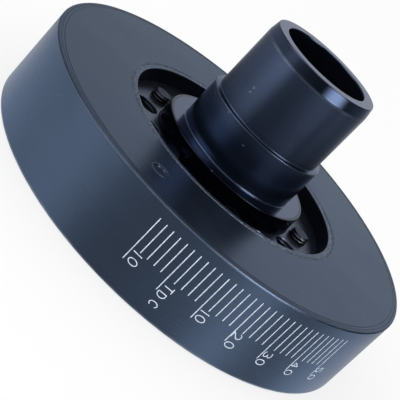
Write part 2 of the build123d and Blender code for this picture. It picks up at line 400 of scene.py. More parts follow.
# %% Plugs
PLUG, DISH, DISH_FLOOR = 3.88, 2.6, 34.3
plug_outline = rounded([(0, DISH_FLOOR, 0), (DISH, DISH_FLOOR, 0.12), (DISH, WIDTH, 0.1), (PLUG, WIDTH, 0.4),
                        (PLUG, SEAT, 0.1), (0, SEAT, 0)])
plugs = [piece_of(f"{node}_face", [turned(plug_outline, 64, centre)], [node])
         for node, centre in zip(("fill_plug", "vent_plug"), PLUGS)]

# %% [markdown]
# ## The hub
# The hub is one turned piece: a flange with deep pockets for the screw heads in front, a pilot that
# fills the web's bore, and the tube with its step, its slight lead-in taper and the bore for the
# crank. The front flange is drilled in line with the web.

# %% Hub
PILOT, PILOT_TOP, JOURNAL, JOURNAL_TOP = 32.98, 35.8, 26.05, 53.4
NOSE, NOSE_FOOT, TAPER_FOOT, NOSE_END, NOSE_TOP = 24.2, 53.7, 80.7, 23.45, 85.3
CRANK_BORE, WASHER, WASHER_SEAT, FLANGE = 18.8, 25.0, 6.0, 46.6
POCKET, POCKET_END, CLEARANCE = 6.9, 11.25, 4.5
POCKET_MOUTH = POCKET + 0.35
HUB_FLAT, FLANGE_BACK = (25.5, 45.6), (33.1, 46.1)
tube_wall = rounded([
    (FLANGE_BACK[0], WEB_FRONT, 0), (PILOT, WEB_FRONT, 0), (PILOT, PILOT_TOP, 0.4), (JOURNAL, PILOT_TOP, 0.5),
    (JOURNAL, JOURNAL_TOP, 0.35), (NOSE, NOSE_FOOT, 0.35), (NOSE, TAPER_FOOT, 7.0), (NOSE_END, NOSE_TOP, 0.4),
    (CRANK_BORE, NOSE_TOP, 0.4), (CRANK_BORE, WASHER_SEAT, 0.3), (WASHER, WASHER_SEAT, 0.2),
    (WASHER, HUB_FRONT, 0.3), (HUB_FLAT[0], HUB_FRONT, 0)])
flange_wall = rounded([(HUB_FLAT[1], HUB_FRONT, 0), (FLANGE, HUB_FRONT, 0.8), (FLANGE, WEB_FRONT, 0.3),
                       (FLANGE_BACK[1], WEB_FRONT, 0)])
pocket = [(POCKET_MOUTH, HUB_FRONT, 0), (POCKET, HUB_FRONT, 0.25), (POCKET, POCKET_END, 0.1),
          (CLEARANCE, POCKET_END, 0.2), (CLEARANCE, WEB_FRONT, 0)]
hub = piece_of("hub_turned", [
    turned(tube_wall), turned(flange_wall),
    holed_flat(HUB_FRONT, *HUB_FLAT, drilled(POCKET_MOUTH, THREAD_MOUTH)),
    holed_flat(WEB_FRONT, *FLANGE_BACK, drilled(CLEARANCE, THREAD_CORE)),
    *(plain_hole(pocket, c) for c in SCREWS),
    *(tapped(HUB_FRONT, WEB_FRONT, HUB_FRONT, c) for c in THREADS)],
    ["hub"])

# %% [markdown]
# ## The screws
# Six socket-head screws come in from the front, and the last turns of their threads stand out of the
# web in the rear recess. The hexagon of the socket is a circle whose radius changes with the angle,
# so the same kind of grid serves for it.

# %% Screws
SCREW_END, HEAD_SEAT, HEAD_FACE, SOCKET_END = 31.25, 11.25, 3.25, 7.25
SCREW_PITCH, SCREW_RADIUS, SCREW_CORE, SCREW_BEVEL = 1.25, 4.0, 3.3, 0.8
HEAD, SOCKET_MOUTH, HALF_FLATS = 6.5, 3.7, 3.0


def shank_radius(height, wave):
    """Thread between its core and its outside, bevelled at the end and running out under the head."""
    thread = SCREW_CORE + (SCREW_RADIUS - SCREW_CORE) * wave
    bevel = SCREW_RADIUS - SCREW_BEVEL + (SCREW_END - height)
    return np.maximum(np.minimum(thread, bevel), SCREW_RADIUS - (height - HEAD_SEAT))


def head_sheet(centre, steps=48):
    """Head and socket: round rows to the socket's mouth, then rows of radius a / cos(angle from a flat)."""
    rows, weight = rounded([(SCREW_RADIUS, HEAD_SEAT, 0), (HEAD, HEAD_SEAT, 0.15), (HEAD, HEAD_FACE, 0.6),
                            (SOCKET_MOUTH, HEAD_FACE, 0)], steps=4)
    turn = round_steps(steps)
    hexagon = HALF_FLATS / np.cos((turn % (TAU / 6)) - TAU / 12)
    radius = np.concatenate([np.repeat(rows[:, :1], steps, 1),
                             np.stack([hexagon + 0.03, hexagon, hexagon, 0 * turn])])
    socket = [[HEAD_FACE + 0.18], [HEAD_FACE + 0.3], [SOCKET_END], [SOCKET_END + 0.5]]
    height = np.repeat(np.concatenate([rows[:, 1:], socket]), steps, 1)
    points = carried_round(radius, height, turn[None, :], centre).reshape(-1, 3)
    return points, grid_faces(len(radius), steps), np.repeat(np.concatenate([weight, [1, 0, 0, 0]]), steps)


# The weight on the end's bevel lets the screw finish paint a highlight there.
end_rows = np.array([[0.0, SCREW_END], [3.1, SCREW_END], [SCREW_RADIUS - SCREW_BEVEL, SCREW_END]])
screws = [piece_of(f"screw_{number}", [
    turned((end_rows, np.array([0.0, 0.0, 0.8])), 48, centre),
    wound(HEAD_SEAT, SCREW_END, SCREW_PITCH, shank_radius, centre), head_sheet(centre)],
    [f"hub_screw_{number}"]) for number, centre in enumerate(SCREWS, 1)]

# %% [markdown]
# ## The degree scale
# The scale is marked into the coated rim: a line every two degrees, a longer one every ten, and
# round-ended figures that read towards the front of the engine. Each stroke is a thin ribbon laid
# on the rim. On paper it is a path of (arc length, height), and bending the paper round the rim puts
# it in place.

# %% Ribbons on the rim
STROKE = 0.165
CAP_POINTS = 5
SUNK, PROUD = -0.08, 0.03


def ribbons(paths):
    """Round-ended ribbons along paths of equal length, an array (path, point, 2) in millimetres.

    At arc length s and height z a ribbon lies at angle s / rim radius from the mark and at height z.
    """
    ahead = unit(np.gradient(paths, axis=1))
    cap = np.cos(np.linspace(0, math.pi / 2, CAP_POINTS))
    first = paths[:, :1] - ahead[:, :1] * STROKE * cap[:, None]
    last = paths[:, -1:] + ahead[:, -1:] * STROKE * cap[::-1, None]
    line = np.concatenate([first, paths[:, 1:-1], last], 1)
    along = np.concatenate([np.repeat(ahead[:, :1], CAP_POINTS, 1), ahead[:, 1:-1],
                            np.repeat(ahead[:, -1:], CAP_POINTS, 1)], 1)
    taper = np.sqrt(1 - cap ** 2) + 0.02
    width = STROKE * np.concatenate([taper, np.ones(paths.shape[1] - 2), taper[::-1]])[None, :, None]
    across = np.stack([-along[..., 1], along[..., 0]], -1) * width
    corners = np.stack([line - across, line - across, line + across, line + across], 2)
    turn = corners[..., 0] / RIM - math.pi / 2
    radius = np.broadcast_to(RIM + np.array([SUNK, PROUD, PROUD, SUNK]), turn.shape)
    points = np.stack([radius * np.cos(turn), radius * np.sin(turn), corners[..., 1]], -1)
    count, length = points.shape[:2]
    start_cap, end_cap = np.array([0, 1, 2, 3]), 4 * length - np.array([1, 2, 3, 4])
    one = np.concatenate([grid_faces(length, 4), [start_cap, end_cap]])
    every = (one[None] + (np.arange(count) * length * 4)[:, None, None]).reshape(-1, 4)
    return points.reshape(-1, 3), every, np.zeros(count * length * 4)


# %% Lines
FIRST_DEGREE, LAST_DEGREE, LINE_POINTS = -10, 50, 14
LINE_START, LINE_END, LONG_LINE_END = WIDTH - 4.6, WIDTH - 17.9, WIDTH - 23.5
scale_angles = np.arange(FIRST_DEGREE, LAST_DEGREE + 1, 2)
line_end = np.where(scale_angles % 10 == 0, LONG_LINE_END, LINE_END)
lines = np.stack([np.repeat(np.radians(scale_angles)[:, None] * RIM, LINE_POINTS, 1),
                  LINE_START + (line_end[:, None] - LINE_START) * np.linspace(0, 1, LINE_POINTS)], -1)
scale_lines = piece_of("scale_lines", [ribbons(lines)], sharp=50.0)


# %% [markdown]
# ## The figures
# A text object would need a font and gives hundreds of uneven faces. These figures are a handful of
# arcs and straight strokes of an engraver's round-nosed cutter, so each stroke is one more ribbon. Its
# path is evened out by length first, because then the ribbon's cross lines are evenly spaced too.

# %% Strokes
def sweep(x, y, wide, high, start, stop, count=25):
    """Arc of an ellipse about (x, y), between two angles in degrees."""
    turn = np.radians(np.linspace(start, stop, count))
    return np.column_stack([x + wide * np.cos(turn), y + high * np.sin(turn)])


def evenly(path, count=40):
    """The same path with its points evenly spaced by length."""
    path = np.asarray(path, float)
    length = np.concatenate([[0], np.cumsum(np.linalg.norm(np.diff(path, axis=0), axis=1))])
    at = np.linspace(0, length[-1], count)
    return np.column_stack([np.interp(at, length, path[:, 0]), np.interp(at, length, path[:, 1])])


W, H = 1.15, 1.74
TOP, HALF = 0.9 * H, H / 2
print("a figure is", 2 * W, "by", 2 * H, "mm")

# %% Figures
FIGURES = {
    "0": [sweep(0, 0, W, H, 90, 444)],
    "1": [[(0, H), (0, -H)]],
    "2": [np.concatenate([sweep(0, H - W * 0.95, W, W * 0.95, 165, -30), [(-W, -H), (W, -H)]])],
    "3": [sweep(0, HALF, W * 0.9, HALF, 150, -84), sweep(0, -HALF, W, HALF, 90, -150)],
    "4": [[(W * 0.45, -H), (W * 0.45, H), (-W, -H * 0.3), (W, -H * 0.3)]],
    "5": [np.concatenate([[(W * 0.9, H), (-W * 0.8, H), (-W * 0.9, H * 0.08)],
                          sweep(-W * 0.05, -H * 0.38, W, H * 0.62, 130, -140)])],
    "T": [[(-0.85 * W, TOP), (0.85 * W, TOP)], [(0, TOP), (0, -TOP)]],
    "D": [np.concatenate([[(-0.85 * W, TOP), (-0.85 * W, -TOP)],
                          sweep(-W * 0.2, 0, W * 1.05, TOP, -90, 84)[:-1], [(-0.82 * W, 0.88 * H)]])],
    "C": [sweep(0, 0, 0.9 * W, TOP, 45, 315)],
}
WORDS = [("1", -8.13, 18.97), ("0", -7.85, 22.2), ("T", 1.97, 20.54), ("D", 1.66, 24.0), ("C", 1.82, 28.3),
         ("1", 11.64, 19.28), ("0", 11.84, 22.1), ("2", 21.4, 19.75), ("0", 21.65, 24.15),
         ("3", 31.7, 20.55), ("0", 31.6, 24.4), ("4", 41.3, 20.4), ("0", 41.5, 24.3),
         ("5", 51.6, 20.5), ("0", 51.5, 24.5)]
strokes = np.stack([
    np.column_stack([math.radians(angle) * RIM + path[:, 1], WIDTH - below - path[:, 0]])
    for figure, angle, below in WORDS for path in map(evenly, FIGURES[figure])])
scale_figures = piece_of("scale_figures", [ribbons(strokes)], sharp=50.0)

# %% [markdown]
# ## Shared effects
# The coat, the steel and the plastic share a few effects: fine rings left by turning, slow clouds in
# the coat, a grain, lighter edges that are partly abraded coat and partly a painted glint, thin scuffs,
# small pale spots, and rings of the surface that are finished differently, some painted dark as shade.
# Each is a small group of nodes that puts out one mask, and every finish uses it with its own numbers.
# All of them read Object coordinates, so a pattern stays on the piece when the piece turns.


# %% Node helpers
def joined(tree, kind, inputs=None, **settings):
    """New shader node with its settings; each input is a value or the output that feeds it."""
    node = tree.nodes.new("ShaderNode" + kind)
    for label, value in settings.items():
        setattr(node, label, value)
    for label, value in (inputs or {}).items():
        if isinstance(value, bpy.types.NodeSocket):
            tree.links.new(value, node.inputs[label])
        else:
            node.inputs[label].default_value = value
    return node


def sums(tree, operation, a, b=0.0, c=0.0):
    """Output of one Math node."""
    return joined(tree, "Math", {0: a, 1: b, 2: c}, operation=operation).outputs[0]


def between(tree, value, low, high, to_low=0.0, to_high=1.0):
    """Smooth step of a value from one range to another."""
    ends = {"Value": value, "From Min": low, "From Max": high, "To Min": to_low, "To Max": to_high}
    return joined(tree, "MapRange", ends, clamp=True, interpolation_type="SMOOTHSTEP").outputs["Result"]


def noise(tree, vector, scale, detail, output="Fac"):
    """One output of a noise pattern."""
    pattern = joined(tree, "TexNoise", {"Vector": vector, "Scale": scale, "Detail": detail})
    return pattern.outputs[output]


def vectors(tree, operation, a, b=(0.0, 0.0, 0.0), output="Vector"):
    """Output of one Vector Math node."""
    return joined(tree, "VectorMath", {0: a, 1: b}, operation=operation).outputs[output]


def mixed(tree, factor, first, second, blend="MIX"):
    """Colour between two colours, or one combined with the other; each is an output or three numbers."""
    first, second = (c if isinstance(c, bpy.types.NodeSocket) else (*c, 1) for c in (first, second))
    return joined(tree, "Mix", {"Factor": factor, 6: first, 7: second}, data_type="RGBA",
                  blend_type=blend).outputs[2]


print("helpers ready, groups so far", len(bpy.data.node_groups))


# %% Groups of nodes
def new_group(name, **inputs):
    """Empty group, the outputs that carry its Vector and its named inputs, and the input of its Mask."""
    group = bpy.data.node_groups.new(name, "ShaderNodeTree")
    for label, value in {"Vector": (0.0, 0.0, 0.0), **inputs}.items():
        kind = "NodeSocketVector" if isinstance(value, tuple) else "NodeSocketFloat"
        label = label.replace("_", " ")
        socket = group.interface.new_socket(name=label, in_out="INPUT", socket_type=kind)
        socket.default_value = value
    group.interface.new_socket(name="Mask", in_out="OUTPUT", socket_type="NodeSocketFloat")
    given = group.nodes.new("NodeGroupInput").outputs
    return group, *given[:len(inputs) + 1], group.nodes.new("NodeGroupOutput").inputs["Mask"]


def radius_and_height(tree, vector):
    """Distance from the crank axis and height of a point."""
    apart = joined(tree, "SeparateXYZ", {0: vector})
    flat = joined(tree, "CombineXYZ", {"X": apart.outputs["X"], "Y": apart.outputs["Y"]})
    return vectors(tree, "LENGTH", flat.outputs[0], output="Value"), apart.outputs["Z"]


turning, place, lines_per_metre, mask = new_group("turning_lines", Lines_per_metre=2500.0)
radius, height = radius_and_height(turning, place)
along = sums(turning, "MULTIPLY", sums(turning, "ADD", radius, height), lines_per_metre)
lines_noise = joined(turning, "TexNoise", {"W": along, "Scale": 1.0, "Detail": 3.0, "Roughness": 0.65},
                     noise_dimensions="1D")
turning.links.new(lines_noise.outputs["Fac"], mask)
print("turning lines of", len(turning.nodes), "nodes")

# %% Clouds, grain, and lighter edges that are partly abraded coat and partly painted glints
clouds, place, scale, mask = new_group("slow_clouds", Scale=30.0)
clouds.links.new(between(clouds, noise(clouds, place, scale, 4.0), 0.3, 0.7), mask)

grain, place, scale, mask = new_group("fine_grain", Scale=3000.0)
grain.links.new(noise(grain, place, scale, 2.0), mask)

# Lighter edges, partly abraded coat and partly a painted glint: the arcs' edge weight, broken up by noise.
edges_worn_and_glinting, place, amount, mask = new_group("worn_and_glinting_edges", Amount=0.5)
edge_weight = joined(edges_worn_and_glinting, "Attribute", attribute_name="edge").outputs["Fac"]
broken = between(edges_worn_and_glinting, noise(edges_worn_and_glinting, place, 220.0, 4.0), 0.35, 0.7, 0.25, 1.0)
edges_worn_and_glinting.links.new(sums(edges_worn_and_glinting, "MULTIPLY", sums(edges_worn_and_glinting, "MULTIPLY", edge_weight, broken), amount), mask)
print("groups", [g.name for g in bpy.data.node_groups])

# %% Ring zones
zone, place, inner, outer, lowest, soft, mask = new_group(
    "ring_zone", Inner=0.0, Outer=0.1, Lowest=-1.0, Soft=0.0002)
radius, height = radius_and_height(zone, place)
past_inner = between(zone, radius, inner, sums(zone, "ADD", inner, soft))
before_outer = between(zone, radius, sums(zone, "SUBTRACT", outer, soft), outer, 1.0, 0.0)
above = between(zone, height, lowest, sums(zone, "ADD", lowest, soft))
zone.links.new(sums(zone, "MULTIPLY", sums(zone, "MULTIPLY", past_inner, before_outer), above), mask)
print("ring zone of", len(zone.nodes), "nodes")

# %% Scuffs and pale spots
BEND = 0.012
scuffs, place, scale, amount, mask = new_group("fine_scuffs", Scale=60.0, Amount=0.5)
pushed = joined(scuffs, "VectorMath", {
    0: noise(scuffs, place, 90.0, 2.0, "Color"), 1: (BEND, BEND, BEND), 2: place},
    operation="MULTIPLY_ADD").outputs[0]
cells = joined(scuffs, "TexVoronoi", {"Vector": pushed, "Scale": scale}, feature="DISTANCE_TO_EDGE")
thin = between(scuffs, cells.outputs["Distance"], 0.0, 0.012, 1.0, 0.0)
sparse = between(scuffs, noise(scuffs, place, 55.0, 3.0), 0.62, 0.74)
scuffs.links.new(sums(scuffs, "MULTIPLY", sums(scuffs, "MULTIPLY", thin, sparse), amount), mask)

# A small pale spot: a ragged patch round a given place.
pale_spots, place, spot, reach, mask = new_group("small_pale_spot", Place=(0.0, 0.0, 0.0), Reach=0.001)
ragged = between(pale_spots, noise(pale_spots, place, 1500.0, 3.0), 0.35, 0.65, 0.6, 1.8)
from_spot = sums(pale_spots, "MULTIPLY", vectors(pale_spots, "DISTANCE", place, spot, "Value"), ragged)
spot_share = sums(pale_spots, "DIVIDE", from_spot, reach)
pale_spots.links.new(between(pale_spots, spot_share, 0.5, 1.0, 1.0, 0.0), mask)
print("scuffs of", len(scuffs.nodes), "nodes, rub of", len(pale_spots.nodes))

# %% [markdown]
# ## The finishes
# A finish starts from one recipe: two near colours that drift in clouds, lines from turning that
# change colour, roughness and relief a little, brighter edges that are partly abraded coat and partly
# a painted glint, and a few scuffs.
# The coat on a balancer is a thin dark conversion coat over steel, so it reflects like a dark metal
# with a blue cast. That is why most of its colour sits in a nearly full Metallic value.


# %% A finish under way
class Finish:
    """A material being built: its shader, Object coordinates, colour, roughness and relief."""

    def __init__(self, name, colour=None, rough=0.5, metallic=0.0):
        self.material = bpy.data.materials.new(name)
        self.material.use_nodes = True
        self.tree = self.material.node_tree
        self.shader = self.tree.nodes["Principled BSDF"]
        self.shader.inputs["Metallic"].default_value = metallic
        self.place = joined(self.tree, "TexCoord").outputs["Object"]
        self.colour, self.rough, self.normal = colour, rough, None

    def effect(self, group, **values):
        """Mask of one shared effect on this material's own coordinates."""
        node = joined(self.tree, "Group", node_tree=group)
        self.tree.links.new(self.place, node.inputs["Vector"])
        for label, value in values.items():
            node.inputs[label.replace("_", " ")].default_value = value
        return node.outputs["Mask"]

    def ring(self, inner, outer, lowest=-1.0, soft=0.0002):
        """Mask of the surface between two radii and above a height, in metres."""
        return self.effect(zone, Inner=inner, Outer=outer, Lowest=lowest, Soft=soft)

    def paint(self, mask, colour, share=1.0):
        """Lays a colour over the one so far where the mask is one."""
        if share < 1.0:
            mask = sums(self.tree, "MULTIPLY", mask, share)
        self.colour = mixed(self.tree, mask, self.colour, colour)

    def roughen(self, mask, amount, middle=0.0):
        """Adds (mask - middle) times the amount to the roughness so far."""
        if middle:
            mask = sums(self.tree, "SUBTRACT", mask, middle)
        self.rough = sums(self.tree, "MULTIPLY_ADD", mask, amount, self.rough)

    def relief(self, mask, metres, strength=1.0):
        """Lays relief of a mask, so many metres high, over the relief so far."""
        node = joined(self.tree, "Bump", {"Strength": strength, "Distance": metres, "Height": mask})
        if self.normal is not None:
            self.tree.links.new(self.normal, node.inputs["Normal"])
        self.normal = node.outputs["Normal"]

    def finish(self, grazing=None):
        """Connects the shader; grazing is the colour that a metal gives back at a flat angle."""
        made = {"Base Color": self.colour, "Roughness": self.rough, "Normal": self.normal}
        for label, output in made.items():
            self.tree.links.new(output, self.shader.inputs[label])
        if grazing:
            self.shader.inputs["Specular Tint"].default_value = (*grazing, 1)
        print("finish", self.material.name, "of", len(self.tree.nodes), "nodes")
        return self.material


print("effects", [g.name for g in bpy.data.node_groups])

# %% Recipe of a coated steel finish
LINES_BRIGHTEN = 1.5


def coated_steel(name, light, dark, roughness, edge, metallic=0.97, lines=2500.0, relief=2e-6, wear_and_glint=0.35,
                 scuffed=0.3, cloud_scale=30.0):
    """Dark coat over turned steel: clouds, lines, scuffs, and edges lighter partly as abraded coat, partly as
    a painted glint.
    """
    f = Finish(name, dark, roughness, metallic)
    drift = f.effect(clouds, Scale=cloud_scale)
    rings = f.effect(turning, Lines_per_metre=lines)
    marks = f.effect(scuffs, Amount=scuffed)
    f.paint(drift, light)
    f.paint(between(f.tree, rings, 0.25, 0.75, 0, 0.35), tuple(LINES_BRIGHTEN * c for c in light))
    # Edges and scuffs get the edge colour; on the edges it is partly abraded coat and partly a painted glint.
    f.paint(sums(f.tree, "MAXIMUM", f.effect(edges_worn_and_glinting, Amount=wear_and_glint), marks), edge)
    f.roughen(rings, 0.18, 0.5)
    f.roughen(drift, 0.06, 0.5)
    f.roughen(marks, 0.25)
    f.relief(f.effect(grain, Scale=2600.0), 3e-6, 0.6)
    f.relief(rings, relief)
    return f


print("lines brighten the colour", LINES_BRIGHTEN, "times")

# %% [markdown]
# ## The slate coat
# The cup and its cover look slate blue in low light and nearly black where they mirror something dark.
# A metallic shader with a dark blue base does this, and its Specular Tint sets how much light it gives
# back at a flat angle. The wall of the recess and the insides of the holes are painted near black as
# painted shade, the web's floor is a greyer coat, and the weld ring is beaded. Each is told apart from
# the rest by its distance from the axis and its height, both in metres.

# %% Slate coat of the cup
# The edge colours lighten the edges partly as abraded coat and partly as a painted glint.
SLATE_LIGHT, SLATE_DARK, SLATE_EDGE = (0.098, 0.130, 0.190), (0.086, 0.115, 0.170), (0.26, 0.31, 0.38)
RIM_LIGHT, RIM_DARK, RIM_EDGE = (0.089, 0.129, 0.205), (0.078, 0.113, 0.183), (0.34, 0.37, 0.42)
# The near-black colours here are painted shade: one for the insides of the holes, one for the recess wall.
GROOVE, HOLE_SHADE = (0.045, 0.06, 0.09), (0.012, 0.014, 0.020)
WALL_SHADE, FLOOR = (0.02, 0.026, 0.042), (0.17, 0.17, 0.215)
SLATE_GRAZING, BEADS, BEAD_SCALE = (0.68, 0.715, 0.79), (0.26, 0.30, 0.37), 750.0
WELD_RING, WEB_RING, WALL_RING = (0.0483, 0.0507), (0.0332, 0.0479), (0.0478, 0.0483)
COVER_GROOVE, RIM_GROOVE = (0.0820, 0.0825), (0.0833, 0.0838)
FACE_LEVEL, FLOOR_LEVEL, CRISP = 0.0343, 0.02835, 0.0001
# The rim's edge colour is whitened and laid on thickly to paint the glint on the rim's rear edge.
f = coated_steel("slate_coat", RIM_LIGHT, RIM_DARK, 0.30, RIM_EDGE, wear_and_glint=0.5)
lip_zone = f.ring(*WELD_RING, FACE_LEVEL)
beads = between(f.tree, f.effect(grain, Scale=BEAD_SCALE), 0.4, 0.65, 0.1, 0.9)
beaded = sums(f.tree, "MULTIPLY", lip_zone, beads)
f.paint(beaded, BEADS)
f.roughen(lip_zone, 0.08)
f.paint(f.ring(*RIM_GROOVE, FACE_LEVEL, CRISP), GROOVE)
floor_zone = f.ring(*WEB_RING, FLOOR_LEVEL, CRISP)
# Painted shade: the insides of the holes, below the floor of the web, are painted near black.
f.paint(sums(f.tree, "SUBTRACT", f.ring(*WEB_RING), floor_zone), HOLE_SHADE, 0.85)
f.roughen(floor_zone, -0.02)
f.paint(floor_zone, FLOOR, 0.6)
# Painted shade: the wall of the recess is painted near black.
wall_shade_zone = f.ring(*WALL_RING, soft=CRISP)
f.paint(wall_shade_zone, WALL_SHADE)
f.roughen(wall_shade_zone, 0.3)
f.relief(beaded, 9e-5)
slate = f.finish(SLATE_GRAZING)

# %% Slate coat of the cover, and the seam
f = coated_steel("cover_coat", SLATE_LIGHT, SLATE_DARK, 0.30, SLATE_EDGE)
for groove in (COVER_GROOVE, RIM_GROOVE):
    f.paint(f.ring(*groove, FACE_LEVEL, CRISP), GROOVE)
cover_coat = f.finish(SLATE_GRAZING)

f = Finish("seam_coat", (0.075, 0.098, 0.14), 0.32, 0.97)
beads, fine = f.effect(grain, Scale=BEAD_SCALE), f.effect(grain, Scale=4000.0)
f.paint(between(f.tree, beads, 0.38, 0.64), (0.24, 0.285, 0.36))
f.roughen(fine, 0.2)
f.relief(fine, 8e-6, 0.5)
f.relief(beads, 1.0e-4)
seam_coat = f.finish(SLATE_GRAZING)

# %% [markdown]
# ## The gloss coat, screws and plugs
# The hub is ground before it is coated, so the same recipe gets a lower roughness and finer lines. The
# band round its pilot is painted near black as painted shade, the journal that the seal runs on is a
# little duller, and a few tiny pale, rougher spots are painted, each a ragged spot round a place on the
# surface. The screws are blacked, and the plugs are slate like the cover.

# %% Gloss coat of the hub
PILOT_SHADE_RING, JOURNAL_RING, JOURNAL_LEVEL = (0.0315, 0.0335), (0.0254, 0.0270), 0.0360
SPOT_PLACES = [((-0.0154, -0.0187, 0.0630), 0.0005), ((-0.0154, -0.0187, 0.0650), 0.0006),
        ((-0.0047, -0.0256, 0.0485), 0.0005), ((-0.0162, -0.0204, 0.0525), 0.0006),
        ((-0.0071, -0.0322, 0.0357), 0.0006)]
f = coated_steel("gloss_coat", (0.060, 0.083, 0.143), (0.053, 0.074, 0.130), 0.14, (0.22, 0.26, 0.33),
                 lines=5200.0, relief=1e-6, wear_and_glint=0.3, scuffed=0.8)
# Painted shade: the band 31.5 to 33.5 mm from the axis, the pilot among it, is painted near black.
f.paint(f.ring(*PILOT_SHADE_RING), (0.012, 0.015, 0.026), 0.9)
f.roughen(f.ring(*JOURNAL_RING, JOURNAL_LEVEL), 0.07)
# Pale, rougher spots painted at given places.
for spot, reach in SPOT_PLACES:
    pale_spot = f.effect(pale_spots, Place=spot, Reach=reach)
    f.paint(pale_spot, (0.28, 0.33, 0.42), 0.55)
    f.roughen(pale_spot, 0.3)
gloss = f.finish((0.85, 0.88, 0.96))

# %% Coats of the screws and the plugs
# The screws' pale edge colour, laid on thickly, paints the highlight on their ends and edges besides abraded
# coat.
screw_coat = coated_steel(
    "screw_coat", (0.036, 0.041, 0.053), (0.022, 0.025, 0.034), 0.30, (0.36, 0.38, 0.44), lines=4000.0,
    wear_and_glint=0.5, scuffed=0.2, cloud_scale=220.0).finish((0.64, 0.68, 0.77))
plug_coat = coated_steel("plug_coat", SLATE_LIGHT, SLATE_DARK, 0.29, (0.3, 0.35, 0.42), wear_and_glint=0.45,
                         cloud_scale=200.0).finish(SLATE_GRAZING)


# %% [markdown]
# ## The pale marks
# The scale's strokes are cut through the coat and filled with a pale paint. It has worn unevenly, so
# two near whites are mixed in small patches and the surface stays matt.

# %% Mottled finish, and the pale marks
def mottled(name, dark, light, patches, fineness, roughness, more_rough, depth, strength):
    """Matt finish of two colours in patches, with a fine grain in its roughness and relief."""
    f = Finish(name, dark, roughness)
    fine = f.effect(grain, Scale=fineness)
    f.paint(f.effect(clouds, Scale=patches), light)
    f.roughen(fine, more_rough)
    f.relief(fine, depth, strength)
    return f.finish()


scale_marks = mottled("scale_marks", (0.46, 0.53, 0.66), (0.72, 0.78, 0.88), 900.0, 5000.0, 0.5, 0.2,
                      6e-6, 0.6)

# %% [markdown]
# ## Inside the cup
# The floating ring, the plastic band and the pads never show from outside, but they turn and can be
# seen when the cup is cut open or taken apart. Their solids keep their own shape and only get a
# finish: grey iron with its turning marks, and a cream plastic with a slight mottle.

# %% Ring and bearings
iron = coated_steel("turned_iron", (0.36, 0.35, 0.34), (0.27, 0.265, 0.26), 0.38, (0.5, 0.5, 0.5),
                    metallic=0.95, lines=1400.0, relief=4e-6, wear_and_glint=0.0, scuffed=0.5).finish()
plastic = mottled("bearing_plastic", (0.62, 0.55, 0.42), (0.72, 0.66, 0.53), 260.0, 2200.0, 0.38, 0.15,
                  8e-6, 0.5)

# %% Put the finishes on
for piece, material in ((cup, slate), (cover, cover_coat), (hub, gloss), (inner_seam, seam_coat),
                        (outer_seam, cover_coat), (scale_lines, scale_marks), (scale_figures, scale_marks),
                        *((screw, screw_coat) for screw in screws), *((plug, plug_coat) for plug in plugs)):
    piece.data.materials.append(material)
SOLID_FINISH = {"inertia_ring": iron, "bearing_band": plastic, "hub": gloss, "housing": slate,
                "cover_plate": cover_coat}
for name, node in nodes.items():
    by_kind = plastic if "pad" in name else screw_coat if "screw" in name else plug_coat
    node.data.materials.clear()
    node.data.materials.append(SOLID_FINISH.get(name, by_kind))
print("materials", [m.name for m in bpy.data.materials if m.users])

# %% [markdown]
# ## Surroundings and light
# Polished dark metal shows little but its surroundings, so the studio matters more than the lamps.
# The piece lies on a white table. The side of the room where the camera stands is dark, the far wall is
# grey, and the table is a little brighter or darker from one bearing to the next. A dark band runs
# round above the walls, and the ceiling is lighter again. Only rays that come from a glossy surface see
# this room: matt surfaces get an even white sky, and the camera sees plain white behind the object.

# %% Helpers for the room
FRONT = -math.pi / 2


def towards(bearing, rise):
    """Unit vector at a bearing from the camera's side and a rise, both in degrees."""
    turn, up = math.radians(bearing) + FRONT, math.radians(rise)
    return Vector((math.cos(turn) * math.cos(up), math.sin(turn) * math.cos(up), math.sin(up)))


def round_the_room(tree, apart, stops):
    """Grey over the bearing from the camera's side, as (degrees, grey) stops from -180 to 180."""
    turn = sums(tree, "ARCTAN2", apart["X"], sums(tree, "MULTIPLY", apart["Y"], -1.0))
    ramp = joined(tree, "ValToRGB", {"Fac": sums(tree, "MULTIPLY_ADD", turn, 1 / TAU, 0.5)})
    marks = ramp.color_ramp.elements
    for mark, (degrees, grey) in zip(marks, (stops[0], stops[-1])):
        mark.position, mark.color = degrees / 360 + 0.5, (grey, grey, grey, 1)
    for degrees, grey in stops[1:-1]:
        marks.new(degrees / 360 + 0.5).color = (grey, grey, grey, 1)
    return ramp.outputs["Color"]


def glow_of(tree, vector, bearing, rise, inner, outer, flatten, brightness, under):
    """Soft oval glow added to a colour: full within the inner distance, nought past the outer."""
    apart = vectors(tree, "SUBTRACT", vector, towards(bearing, rise))
    distance = vectors(tree, "LENGTH", vectors(tree, "MULTIPLY", apart, (1, 1, flatten)), output="Value")
    return mixed(tree, 1.0, under, between(tree, distance, inner, outer, brightness, 0.0), "ADD")


print("right glow towards", [round(v, 2) for v in towards(47.0, 5.0)])

